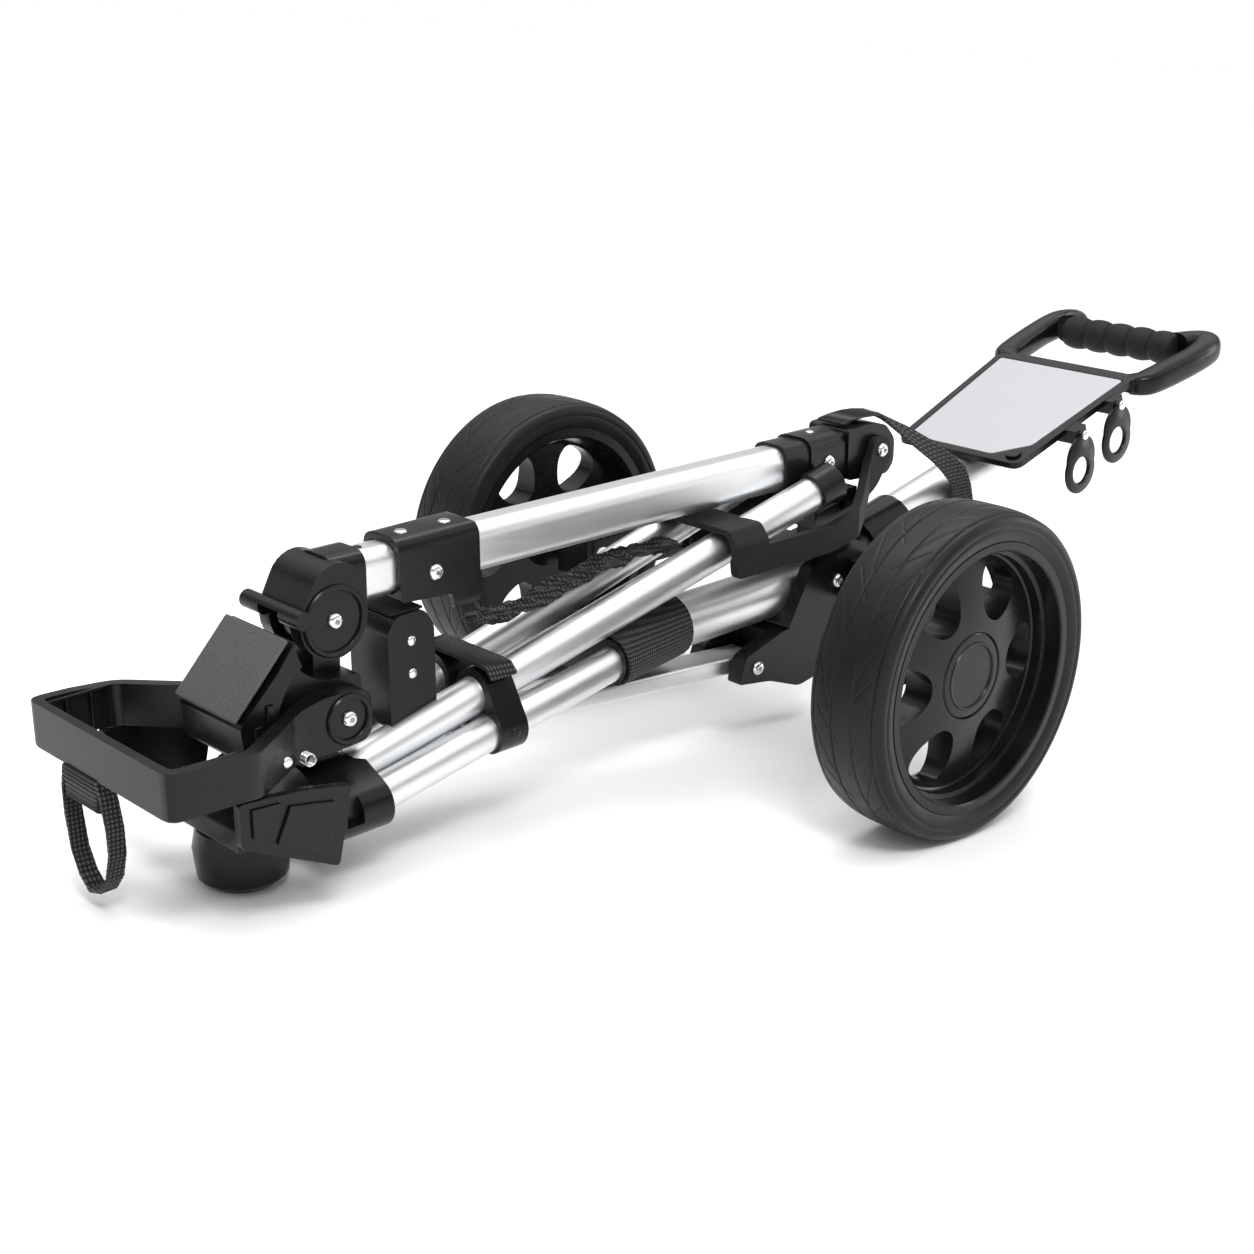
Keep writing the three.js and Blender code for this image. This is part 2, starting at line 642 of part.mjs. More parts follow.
// ---------------------------------------------------------------- lower cradle
function cradleFrame() {
  const wide = HOOP_HALF_WIDTH;
  const front = HOOP_FRONT;
  const outerPlan = roundedPolygon(
    [
      [front, -wide], [front, wide], [-505, wide], [-448, 42], [-384, 42],
      [-384, -42], [-448, -42], [-505, -wide],
    ], 10);
  const innerPlan = roundedPolygon(
    [
      [front + 7, 8 - wide], [front + 7, wide - 8], [-511, wide - 8], [-457, 36.8], [-436, 26.3],
      [-340, 26.3], [-340, -26.3], [-436, -26.3], [-457, -36.8], [-511, 8 - wide],
    ], 6);
  const wall = cut(floorPlate(outerPlan, -20, 60, 3), floorPlate(innerPlan, -30, 70, 3));
  const rail = roundedPolygon(
    [
      [-600, 14], [-600, 46], [-540, 44], [-455, 36], [-425, 42], [-393, 40], [-384, 30], [-384, 12],
      [-393, 3], [-425, 1], [-455, 4], [-520, 12],
    ], 6);
  return common(wall, sidePlate(rail, -100, 100, 3));
}

function cradlePanel() {
  const outline = roundedPolygon([[-522, 11], [-522, -20], [-450, -56], [-437, -2], [-470, 5.2]], 4);
  return sidePlate(outline, -HOOP_HALF_WIDTH + 1, -HOOP_HALF_WIDTH + 8, 3);
}

function cradleFloor() {
  const reach = HOOP_HALF_WIDTH - 8 - FIT_GAP;
  return box([-520, -497], [-reach, reach], [-26, -12]);
}

function standFoot() {
  const { bottom } = FOOT;
  return turnedUp(
    [[0, bottom], [24, bottom], [31, bottom + 6], [33, -62], [30, -46.4], [14, -46.4], [12, 0.6], [0, 0.6]],
    FOOT.x, 24,
  );
}

// A turned piece about a vertical line; profile points are [radius, z].
function turnedUp(profile, x, segments) {
  const geometry = new THREE.LatheGeometry(profile.map(([r, h]) => new THREE.Vector2(r, h)), segments);
  geometry.rotateX(Math.PI / 2);
  geometry.translate(x, 0, 0);
  return geometry;
}

function loopStrap() {
  const outline = roundedPolygon(
    [[-6, 13], [46, 13], [44, -20], [40, -52], [24, -74], [10, -66], [-4, -30]], 12);
  const hole = roundedPolygon([[-2, 6], [41, 6], [40, -20], [36, -49], [24, -68], [14, -62], [0, -29]], 10);
  return cut(endPlate(outline, HOOP_FRONT, HOOP_FRONT + 13, 3), endPlate(hole, -700, -400, 3));
}

function cradle() {
  add("cradle_frame", cradleFrame(), blackPlastic);
  addPair("cradle_panel", cradlePanel(), blackPlastic);
  add("cradle_floor", cradleFloor(), blackPlastic);
  add("loop_strap", loopStrap(), webbing);
}

// ---------------------------------------------------------------- console and handle
// Console pieces are drawn level, with u along the deck from its front edge, then tilted into place.
function ontoDeck(geometry) {
  geometry.rotateY(-DECK_SLOPE);
  geometry.translate(DECK_FRONT.x, 0, DECK_FRONT.z);
  return geometry;
}

const DECK = { length: 172, frontHalf: 67, rearHalf: 76, thickness: 6 };
const BUTTON = { u: 13, v: -54 };
const RINGS = [{ name: "ring_front", u: 76 }, { name: "ring_rear", u: 134 }];
const RING_DROP = 32;
const LUG_FACE = 82;

function consoleFrame() {
  const { length, frontHalf, rearHalf, thickness } = DECK;
  const outline = roundedPolygon(
    [[0, -frontHalf], [length, -rearHalf], [length, rearHalf], [0, frontHalf]], 9);
  const deck = floorPlate(outline, -thickness, 0, 3);
  const rim = 7;
  const recess = floorPlate(
    roundedPolygon(
      [
        [rim + 25, rim - frontHalf], [length - rim, rim - rearHalf], [length - rim, rearHalf - rim],
        [rim, frontHalf - rim], [rim, 32 - frontHalf],
      ], 4), -2.6, 5, 3);
  const buttonWell = floorPlate(circle(7.3, BUTTON.u, BUTTON.v), -3.6, 5);
  const saddle = box([36, 92], [-26, 26], [-30, -thickness + 0.5]);
  const lugs = RINGS.map(({ u }) => box([u - 8, u + 8], [-LUG_FACE, -60], [-14, -0.6]));
  const body = cut(ontoDeck(join(deck, saddle, ...lugs)), ontoDeck(join(recess, buttonWell)));
  return cut(body, legCutter(SHAFT_ENDS, SPINE_RADIUS));
}

function consolePlate() {
  const { length, frontHalf, rearHalf } = DECK;
  const rim = 8;
  const outline = roundedPolygon(
    [
      [rim + 26, rim - frontHalf], [length - rim, rim - rearHalf], [length - rim, rearHalf - rim],
      [rim, frontHalf - rim], [rim, 34 - frontHalf],
    ], 3);
  return ontoDeck(floorPlate(outline, -2.2, 0.2, 3));
}

function umbrellaRing(u) {
  const outline = hullOfCircles({ u: 0, v: 0, r: 9 }, { u: -2, v: -RING_DROP, r: 21.5 });
  const ring = cut(
    sidePlate(outline, -LUG_FACE - 4.3, -LUG_FACE - FIT_GAP),
    rod(-2, -RING_DROP, -200, 200, 12, 20),
  );
  ring.translate(...deckPoint(u));
  return ring;
}

// Where a ring's pivot lies, in X, Y and Z, for a place along the deck.
function deckPoint(u) {
  const drop = -7;
  return [
    DECK_FRONT.x + u * Math.cos(DECK_SLOPE) - drop * Math.sin(DECK_SLOPE), 0,
    DECK_FRONT.z + u * Math.sin(DECK_SLOPE) + drop * Math.cos(DECK_SLOPE),
  ];
}

// The handle is drawn level from the deck's rear edge, then tilted to its own slope.
function ontoBow(geometry) {
  geometry.rotateY(-BOW_SLOPE);
  geometry.translate(
    DECK_FRONT.x + DECK.length * Math.cos(DECK_SLOPE), 0, DECK_FRONT.z + DECK.length * Math.sin(DECK_SLOPE));
  return geometry;
}

const GRIP_U = 92;
const GRIP_HALF = 60;

function handleBow() {
  const outer = roundedPolygon(
    [[3, -74], [16, -84], [112, -91], [134, -78], [134, 78], [112, 91], [16, 84], [3, 74]], 12);
  const middle = box([26, 200], [-GRIP_HALF - FIT_GAP, GRIP_HALF + FIT_GAP], [-60, 60]);
  return ontoBow(cut(floorPlate(outer, -22, 1, 4), middle));
}

function grip() {
  const bulges = 5;
  const perBulge = 4;
  const profile = [[0, -GRIP_HALF]];
  for (let i = 0; i <= bulges * perBulge; i++) {
    const swell = Math.abs(Math.sin((Math.PI * i) / perBulge));
    profile.push([13 + 3 * Math.sqrt(swell), -GRIP_HALF + (2 * GRIP_HALF * i) / (bulges * perBulge)]);
  }
  profile.push([0, GRIP_HALF]);
  return ontoBow(turned(profile, GRIP_U, -9, 16));
}

function scoreConsole() {
  add("console_frame", consoleFrame(), blackPlastic);
  add("console_plate", consolePlate(), greyPlate);
  add("release_button", ontoDeck(floorPlate(circle(7, BUTTON.u, BUTTON.v), -1, 2.5, 5)), blackPlastic);
  add("handle_bow", handleBow(), blackPlastic);
  add("grip", grip(), padRubber);
  for (const { name, u } of RINGS) add(name, umbrellaRing(u), blackPlastic);
}

// ---------------------------------------------------------------- fasteners
function fasteners() {
  const heads = [
    ["bolt_a", HINGE_A.x, -24, HINGE_A.z],
    ["bolt_b", HINGE_B.x, -42, HINGE_B.z],
    ["bolt_c", HINGE_C.x, -REST_ARM.hingeOuter, HINGE_C.z],
    ["bolt_clamp", -314, -20.5, 98],
    ["bolt_sleeve", 98, -20, 98],
    ["bolt_block", 98, -34, -1],
    ["bolt_stay", 6, -30, -56],
  ];
  for (const [name, x, y, z] of heads) add(name, buttonHead(x, y, z), chrome);
}

wheelPieces();
undercarriage();
hub();
upperFrame();
add("rest_arm", restArm(), padRubber);
cradle();
scoreConsole();
fasteners();

cart.rotation.y = -REST_TILT;
const bounds = new THREE.Box3().setFromObject(cart, true);
cart.position.x = -(bounds.min.x + bounds.max.x) / 2;
cart.position.z = -bounds.min.z;

export default cart;
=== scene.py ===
import json
import math

import bmesh
import bpy
from mathutils import Matrix, Vector, noise


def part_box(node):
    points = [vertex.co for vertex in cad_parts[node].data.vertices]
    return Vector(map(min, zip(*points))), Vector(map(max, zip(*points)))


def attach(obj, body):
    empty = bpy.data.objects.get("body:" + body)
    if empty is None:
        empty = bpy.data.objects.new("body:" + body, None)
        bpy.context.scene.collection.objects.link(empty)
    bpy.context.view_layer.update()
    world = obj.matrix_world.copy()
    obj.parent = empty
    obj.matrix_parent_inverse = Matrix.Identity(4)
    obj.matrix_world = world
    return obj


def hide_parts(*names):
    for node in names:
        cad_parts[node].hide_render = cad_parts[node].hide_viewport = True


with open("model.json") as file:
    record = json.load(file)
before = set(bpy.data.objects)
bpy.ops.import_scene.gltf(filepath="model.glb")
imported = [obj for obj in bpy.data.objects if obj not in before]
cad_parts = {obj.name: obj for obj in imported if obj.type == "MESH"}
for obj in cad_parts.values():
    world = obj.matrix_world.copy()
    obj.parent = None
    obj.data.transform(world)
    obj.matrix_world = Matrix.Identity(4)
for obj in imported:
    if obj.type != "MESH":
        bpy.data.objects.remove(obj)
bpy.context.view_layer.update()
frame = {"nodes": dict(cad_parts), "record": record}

# ------------------------------------------------------------------ the axle frame
# Pieces below are drawn in millimetres from the middle of the wheel axle, with the spine level,
# and TO_ROW carries them to the tilted cart in metres.
TILT = math.radians(4.3)
tyre_low, tyre_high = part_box("tyre_near")
AXLE = Vector(((tyre_low.x + tyre_high.x) / 2, 0, (tyre_low.z + tyre_high.z) / 2))
TO_ROW = Matrix.Translation(AXLE) @ Matrix.Rotation(-TILT, 4, "Y") @ Matrix.Scale(0.001, 4)
WHEEL_Y = 227.7
TYRE_RADIUS = 125
SIPES = 15
SLEEVE_Z = -8
DECK_START = (296, 67.5)
DECK_SLOPE = math.radians(18)
DECK_LENGTH = 172
HANDLE_SLOPE = math.radians(12)

NODE_SLOT = {p["node"]: p["material_slot"] for p in frame["record"]["subparts"]}
NODE_BODY = {n: b for b, names in frame["record"]["behaviour"]["bodies"].items() for n in names}


# ------------------------------------------------------------------ materials
def new_material(name, color, roughness, metallic=0.0):
    material = bpy.data.materials.new(name)
    material.use_nodes = True
    shader = material.node_tree.nodes["Principled BSDF"]
    shader.inputs["Base Color"].default_value = (*color, 1)
    shader.inputs["Roughness"].default_value = roughness
    shader.inputs["Metallic"].default_value = metallic
    return material, material.node_tree, shader


def pattern(tree, kind, scale, stretch=(1, 1, 1), **values):
    coordinates = tree.nodes.new("ShaderNodeTexCoord")
    mapping = tree.nodes.new("ShaderNodeMapping")
    mapping.inputs["Scale"].default_value = stretch
    texture = tree.nodes.new(kind)
    texture.inputs["Scale"].default_value = scale
    for key, value in values.items():
        texture.inputs[key.replace("_", " ")].default_value = value
    tree.links.new(coordinates.outputs["Object"], mapping.inputs["Vector"])
    tree.links.new(mapping.outputs["Vector"], texture.inputs["Vector"])
    return texture


def ramp(tree, source, low, high, start=0.3, end=0.7):
    node = tree.nodes.new("ShaderNodeMapRange")
    node.inputs["From Min"].default_value = start
    node.inputs["From Max"].default_value = end
    node.inputs["To Min"].default_value = low
    node.inputs["To Max"].default_value = high
    tree.links.new(source, node.inputs["Value"])
    return node.outputs["Result"]


def bump(tree, shader, source, strength, distance):
    node = tree.nodes.new("ShaderNodeBump")
    node.inputs["Strength"].default_value = strength
    node.inputs["Distance"].default_value = distance
    tree.links.new(source, node.inputs["Height"])
    tree.links.new(node.outputs["Normal"], shader.inputs["Normal"])


def tint(tree, shader, source, dark, light):
    node = tree.nodes.new("ShaderNodeMix")
    node.data_type = "RGBA"
    node.inputs[6].default_value = (*dark, 1)
    node.inputs[7].default_value = (*light, 1)
    tree.links.new(source, node.inputs[0])
    tree.links.new(node.outputs[2], shader.inputs["Base Color"])


def brushed_aluminium():
    material, tree, shader = new_material("satin_aluminium", (0.8, 0.81, 0.82), 0.36, 1)
    grain = pattern(tree, "ShaderNodeTexNoise", 30, (1, 40, 40), Detail=4)
    tree.links.new(ramp(tree, grain.outputs["Fac"], 0.33, 0.41), shader.inputs["Roughness"])
    bump(tree, shader, grain.outputs["Fac"], 0.012, 0.0001)
    return material


def moulded_plastic():
    material, tree, shader = new_material("black_plastic", (0.008, 0.0085, 0.0095), 0.38)
    grain = pattern(tree, "ShaderNodeTexNoise", 2200, Detail=2)
    wear = pattern(tree, "ShaderNodeTexNoise", 24, Detail=5)
    tree.links.new(ramp(tree, wear.outputs["Fac"], 0.22, 0.32), shader.inputs["Roughness"])
    tint(tree, shader, wear.outputs["Fac"], (0.0035, 0.0038, 0.0042), (0.007, 0.0073, 0.008))
    bump(tree, shader, grain.outputs["Fac"], 0.12, 0.0002)
    shader.inputs["Specular IOR Level"].default_value = 0.24
    return material


def grained_cover():
    material, tree, shader = new_material("grained_cover", (0.07, 0.07, 0.075), 0.5)
    grain = pattern(tree, "ShaderNodeTexVoronoi", 900)
    tint(tree, shader, grain.outputs["Distance"], (0.035, 0.035, 0.038), (0.085, 0.085, 0.09))
    bump(tree, shader, grain.outputs["Distance"], 0.5, 0.0004)
    return material


def tyre_rubber():
    material, tree, shader = new_material("tyre_rubber", (0.03, 0.03, 0.031), 0.6)
    dust = pattern(tree, "ShaderNodeTexNoise", 60, Detail=6)
    tint(tree, shader, dust.outputs["Fac"], (0.006, 0.006, 0.0063), (0.012, 0.012, 0.0124))
    tree.links.new(ramp(tree, dust.outputs["Fac"], 0.34, 0.46), shader.inputs["Roughness"])
    shader.inputs["Specular IOR Level"].default_value = 0.2
    return material


def soft_rubber():
    material, tree, shader = new_material("soft_rubber", (0.02, 0.02, 0.021), 0.6)
    pebbles = pattern(tree, "ShaderNodeTexVoronoi", 700)
    tint(tree, shader, pebbles.outputs["Distance"], (0.006, 0.006, 0.0065), (0.016, 0.016, 0.017))
    shader.inputs["Specular IOR Level"].default_value = 0.2
    bump(tree, shader, pebbles.outputs["Distance"], 0.4, 0.0004)
    return material


def chrome():
    material, tree, shader = new_material("bright_steel", (0.75, 0.76, 0.78), 0.15, 1)
    marks = pattern(tree, "ShaderNodeTexNoise", 300, Detail=3)
    tree.links.new(ramp(tree, marks.outputs["Fac"], 0.1, 0.22), shader.inputs["Roughness"])
    return material


def woven_web():
    material, tree, shader = new_material("black_webbing", (0.02, 0.02, 0.022), 0.8)
    warp = pattern(tree, "ShaderNodeTexWave", 105, Distortion=0.3)
    weft = pattern(tree, "ShaderNodeTexWave", 105, Distortion=0.3)
    weft.bands_direction = "Z"
    crossed = tree.nodes.new("ShaderNodeMath")
    crossed.operation = "MULTIPLY"
    tree.links.new(warp.outputs["Fac"], crossed.inputs[0])
    tree.links.new(weft.outputs["Fac"], crossed.inputs[1])
    tint(tree, shader, crossed.outputs[0], (0.003, 0.003, 0.0032), (0.085, 0.085, 0.088))
    bump(tree, shader, crossed.outputs[0], 0.8, 0.0008)
    shader.inputs["Sheen Weight"].default_value = 0.05
    shader.inputs["Specular IOR Level"].default_value = 0.25
    return material


def satin_grey():
    material, tree, shader = new_material("grey_plate", (0.5, 0.51, 0.53), 0.35)
    flecks = pattern(tree, "ShaderNodeTexNoise", 900, Detail=2)
    tint(tree, shader, flecks.outputs["Fac"], (0.42, 0.43, 0.45), (0.52, 0.53, 0.55))
    shader.inputs["Metallic"].default_value = 0.3
    return material


MATERIALS = {
    "satin_aluminium": brushed_aluminium(),
    "black_plastic": moulded_plastic(),
    "grained_cover": grained_cover(),
    "tyre_rubber": tyre_rubber(),
    "soft_rubber": soft_rubber(),
    "bright_steel": chrome(),
    "black_webbing": woven_web(),
    "grey_plate": satin_grey(),
}


# ------------------------------------------------------------------ making pieces
def finish_piece(obj, slot, body, nodes=(), smooth=40):
    obj.data.materials.clear()
    obj.data.materials.append(MATERIALS[slot])
    obj.data.shade_smooth()
    obj.data.set_sharp_from_angle(angle=math.radians(smooth))
    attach(obj, body)
    if nodes:
        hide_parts(*nodes)
    return obj


def object_from(name, mesh):
    obj = bpy.data.objects.new(name, mesh)
    bpy.context.scene.collection.objects.link(obj)
    return obj


def bake_modifiers(obj):
    graph = bpy.context.evaluated_depsgraph_get()
    mesh = bpy.data.meshes.new_from_object(obj.evaluated_get(graph))
    obj.modifiers.clear()
    obj.data = mesh


def soften(obj, width, segments=2, angle=30):
    bevel = obj.modifiers.new("bevel", "BEVEL")
    bevel.width = width
    bevel.segments = segments
    bevel.limit_method = "ANGLE"
    bevel.angle_limit = math.radians(angle)
    bevel.miter_outer = "MITER_ARC"
    obj.data.shade_smooth()
    weighted = obj.modifiers.new("weighted", "WEIGHTED_NORMAL")
    weighted.keep_sharp = True
    bake_modifiers(obj)


# A softened copy of a CAD node: rounded edges and smooth faces on the same shape.
def refine(node, width):
    bm = bmesh.new()
    bm.from_mesh(frame["nodes"][node].data)
    bmesh.ops.remove_doubles(bm, verts=bm.verts, dist=3e-6)
    bmesh.ops.dissolve_limit(bm, angle_limit=math.radians(1), verts=bm.verts, edges=bm.edges)
    mesh = bpy.data.meshes.new(node + "_look")
    bm.to_mesh(mesh)
    bm.free()
    obj = object_from(node + "_look", mesh)
    soften(obj, width)
    return finish_piece(obj, NODE_SLOT[node], NODE_BODY[node], [node])


def solid(name, verts, faces, slot, body, nodes=(), width=0.0, smooth=40):
    mesh = bpy.data.meshes.new(name)
    mesh.from_pydata(verts, [], faces)
    mesh.transform(TO_ROW)
    mesh.validate()
    bm = bmesh.new()
    bm.from_mesh(mesh)
    bmesh.ops.remove_doubles(bm, verts=bm.verts, dist=1e-6)
    bmesh.ops.recalc_face_normals(bm, faces=bm.faces)
    bm.to_mesh(mesh)
    bm.free()
    obj = object_from(name, mesh)
    if width:
        soften(obj, width)
    return finish_piece(obj, slot, body, nodes, smooth)


# Rings of points joined in order; closed=True also joins the last ring to the first.
def skin(rings, closed=False, caps=True):
    count = len(rings[0])
    verts = [tuple(p) for ring in rings for p in ring]
    faces = []
    last = len(rings) if closed else len(rings) - 1
    for i in range(last):
        a, b = i * count, ((i + 1) % len(rings)) * count
        for k in range(count):
            n = (k + 1) % count
            faces.append((a + k, a + n, b + n, b + k))
    if caps and not closed:
        faces.append(tuple(reversed(range(count))))
        faces.append(tuple(range((len(rings) - 1) * count, len(rings) * count)))
    return verts, faces


# A profile of (radius, y) pairs turned about a line along Y.
def turned(profile, x, z, y0=0.0, side=1, segments=96):
    rings = []
    for i in range(segments):
        a = 2 * math.pi * i / segments
        rings.append([(x + r * math.cos(a), y0 + side * y, z + r * math.sin(a)) for r, y in profile])
    return skin(rings, closed=True)


def section_frame(start, end):
    along = (end - start).normalized()
    side = Vector((0, 0, 1)).cross(along).normalized()
    return along, side, along.cross(side)


def rounded_rect(width, height, corner, steps=8):
    points = []
    for cx, cy, first in ((1, 1, 0), (-1, 1, 90), (-1, -1, 180), (1, -1, 270)):
        for i in range(steps + 1):
            a = math.radians(first + 90 * i / steps)
            u = cx * (width / 2 - corner) + corner * math.cos(a)
            v = cy * (height / 2 - corner) + corner * math.sin(a)
            points.append((u, v))
    return points


def circle(radius, steps=64):
    angles = [2 * math.pi * i / steps for i in range(steps)]
    return [(radius * math.cos(a), radius * math.sin(a)) for a in angles]


# An outline drawn in by the same distance along each of its axes.
def scaled(outline, inset):
    widest = max(abs(u) for u, v in outline)
    tallest = max(abs(v) for u, v in outline)
    return [(u * (1 - inset / widest), v * (1 - inset / tallest)) for u, v in outline]


# A hollow tube of one section between two points, with eased rims.
def tube(name, start, end, outline, wall, slot, body, nodes):
    start, end = Vector(start), Vector(end)
    along, side, up = section_frame(start, end)
    rings = []
    length = (end - start).length
    stations = [(0, wall), (0, 0.4), (0.4, 0), (length - 0.4, 0), (length, 0.4), (length, wall)]
    for distance, inset in stations:
        place = start + along * distance
        rings.append([place + side * u + up * v for u, v in scaled(outline, inset)])
    return solid(name, *skin(rings, closed=True), slot, body, nodes)


# ------------------------------------------------------------------ wheels
# Four grooves run round the tread, and slanted cuts cross it on both sides of the middle.
def tread_depth(angle, y):
    depth = 0.0
    for groove in (-25.5, -9, 9, 25.5):
        depth = max(depth, 0.9 * max(0.0, 1 - abs(y - groove) / 0.9) ** 0.5)
    pitch = 2 * math.pi * TYRE_RADIUS / SIPES
    shift = 0.5 if y > 0 else 0.0
    for slope, low, high in ((1.3, 2.5, 22), (2.6, 10, 27)):
        if low < abs(y) < high:
            turn = (angle * SIPES / (2 * math.pi) + abs(y) * slope / pitch + shift) % 1
            away = min(turn, 1 - turn) * pitch / math.hypot(1, slope)
            depth = max(depth, 0.6 * max(0.0, 1 - away / 0.8) ** 0.5)
    return depth


def tyre_piece(side, name):
    rows = []
    sidewall = [
        (103, -29.5), (106, -31.3), (109.5, -32.2), (112.5, -32.8), (113.4, -32.2), (114.2, -32.8),
        (118, -32.4), (121, -30.6),
    ]
    steps = 76
    crown = [(None, -29.2 + 58.4 * i / steps) for i in range(steps + 1)]
    profile = sidewall + crown + [(r, -y) for r, y in reversed(sidewall)]
    count = 900
    for i in range(count):
        angle = 2 * math.pi * i / count
        ring = []
        for r, y in profile:
            if r is None:
                r = TYRE_RADIUS - 3.0 * (abs(y) / 29.2) ** 3.2 - tread_depth(angle, y)
            ring.append((r * math.cos(angle), side * (WHEEL_Y + y), r * math.sin(angle)))
        rows.append(ring)
    verts, faces = skin(rows, closed=True)
    return solid(name + "_look", verts, faces, "tyre_rubber", NODE_BODY[name], [name], smooth=50)


def cut_with(obj, cutters):
    for cutter in cutters:
        boolean = obj.modifiers.new("cut", "BOOLEAN")
        boolean.operation = "DIFFERENCE"
        boolean.solver = "EXACT"
        boolean.object = cutter
    bake_modifiers(obj)
    for cutter in cutters:
        bpy.data.objects.remove(cutter)


def plain_object(name, verts, faces):
    mesh = bpy.data.meshes.new(name)
    mesh.from_pydata(verts, [], faces)
    bm = bmesh.new()
    bm.from_mesh(mesh)
    bmesh.ops.remove_doubles(bm, verts=bm.verts, dist=1e-4)
    bmesh.ops.recalc_face_normals(bm, faces=bm.faces)
    bm.to_mesh(mesh)
    bm.free()
    return object_from(name, mesh)


def window_outline(steps=10):
    corners = [(-10, 44), (10, 44), (23, 67), (18, 85), (-18, 85), (-23, 67)]
    points = []
    for i, corner in enumerate(corners):
        before, after = Vector(corners[i - 1]), Vector(corners[(i + 1) % 6])
        corner = Vector(corner)
        start = corner + (before - corner) * 0.45
        end = corner + (after - corner) * 0.45
        for k in range(steps):
            t = k / (steps - 1)
            points.append(start * (1 - t) ** 2 + corner * 2 * t * (1 - t) + end * t * t)
    return points


def rim_piece(side, name):
    profile = [
        (8.05, 15.2), (33.2, 15.2), (33.2, 18), (34.6, 18.6), (60, 14.6), (86, 8), (89, 6.4), (90.6, 7.4),
        (91.4, 15), (94.6, 16.2), (95.6, 28.8), (96.8, 30), (102.6, 30),
        (102.6, -29.8), (95, -29.8), (93, -28), (87, -9), (84, -7), (26, -7), (22, -12), (22, -24),
        (8.05, -24),
    ]
    verts, faces = turned(profile, 0, 0, side * WHEEL_Y, side, 128)
    obj = plain_object(name + "_look", verts, faces)
    cutters = []
    for i in range(6):
        spin = Matrix.Rotation((i + 0.5) * math.pi / 3, 4, "Y")
        rings = []
        for y in (-24, 24):
            rings.append([spin @ Vector((p.x, side * WHEEL_Y + y, p.y)) for p in window_outline()])
        cutters.append(plain_object("window", *skin(rings)))
    cut_with(obj, cutters)
    obj.data.transform(TO_ROW)
    soften(obj, 0.0012, 3, 35)
    return finish_piece(obj, "black_plastic", NODE_BODY[name], [name])


def cap_piece(side, name):
    profile = [
        (0, 18.6), (23.4, 18.6), (24, 19.7), (25.4, 19.9), (26, 19), (31, 18.6), (32.3, 17.6), (32.6, 15.4),
        (0, 15.4),
    ]
    verts, faces = turned(profile, 0, 0, side * WHEEL_Y, side, 96)
    return solid(name + "_look", verts, faces, "black_plastic", NODE_BODY[name], [name], smooth=30)


def wheels():
    for side, end in ((-1, "near"), (1, "far")):
        tyre_piece(side, "tyre_" + end)
        rim_piece(side, "rim_" + end)
        cap_piece(side, "hub_cap_" + end)


# ------------------------------------------------------------------ tubes
def tubes():
    spine, leg_upper, leg_lower = circle(21.5), circle(14, 48), circle(13, 48)
    stay, upper = rounded_rect(30, 15, 3.5), rounded_rect(32, 36, 11)
    rows = [
        ("lower_tube", (-82, 0, -8), (152, 0, -8), spine, 2, "chassis"),
        ("handle_shaft", (168, 0, 11.1), (384, 0, 58.2), spine, 2, "chassis"),
        ("stay_bar", (-290, 0, -28.4), (20, 0, -58), stay, 1.6, "chassis"),
        ("upper_tube", (-376, 0, 104.3), (132, 0, 97.3), upper, 2, "upper_frame"),
    ]
    for side, end in ((1, "near"), (-1, "far")):
        high = (-404, -18 * side, -29.3), (74, -34.4 * side, 84.3)
        low = (-404, -43.6 * side, -41.5), (-140, -31.6 * side, -4.8)
        rows.append((f"leg_upper_{end}", *high, leg_upper, 1.6, "chassis"))
        rows.append((f"leg_lower_{end}", *low, leg_lower, 1.6, "chassis"))
    for node, start, finish, outline, wall, body in rows:
        tube(node + "_look", start, finish, outline, wall, "satin_aluminium", body, [node])


# ------------------------------------------------------------------ bolts and rivets
def bolt(name, x, y, z, radius=6.0):
    dome = [(1, 0), (0.98, 0.9), (0.86, 2.1), (0.62, 3.1), (0.5, 3.3)]
    profile = [(0, 0), *((radius * share, h) for share, h in dome), (0, 3.3)]
    obj = plain_object(name + "_look", *turned(profile, x, z, y - 0.3, -1, 48))
    hexagon = circle(radius * 0.42, 6)
    socket = [[(x + u, y - depth, z + v) for u, v in hexagon] for depth in (1.0, 8.0)]
    cut_with(obj, [plain_object("socket", *skin(socket))])
    obj.data.transform(TO_ROW)
    return finish_piece(obj, "bright_steel", NODE_BODY[name], [name], 35)


# A small domed rivet pointing along a direction.
def rivet(name, place, direction, radius, body, slot="bright_steel"):
    place, direction = Vector(place), Vector(direction).normalized()
    side = direction.orthogonal().normalized()
    up = direction.cross(side)
    rings = []
    for r, h in ((radius * 1.05, -0.6), (radius, 0.3), (radius * 0.8, 1.0), (radius * 0.4, 1.3)):
        centre = place + direction * h
        rings.append([centre + side * u + up * v for u, v in circle(r, 24)])
    return solid(name, *skin(rings), slot, body, smooth=60)


# The (x, z) place u along the console's deck and h above it.
def deck_point(u, h):
    x = DECK_START[0] + u * math.cos(DECK_SLOPE) - h * math.sin(DECK_SLOPE)
    z = DECK_START[1] + u * math.sin(DECK_SLOPE) + h * math.cos(DECK_SLOPE)
    return x, z


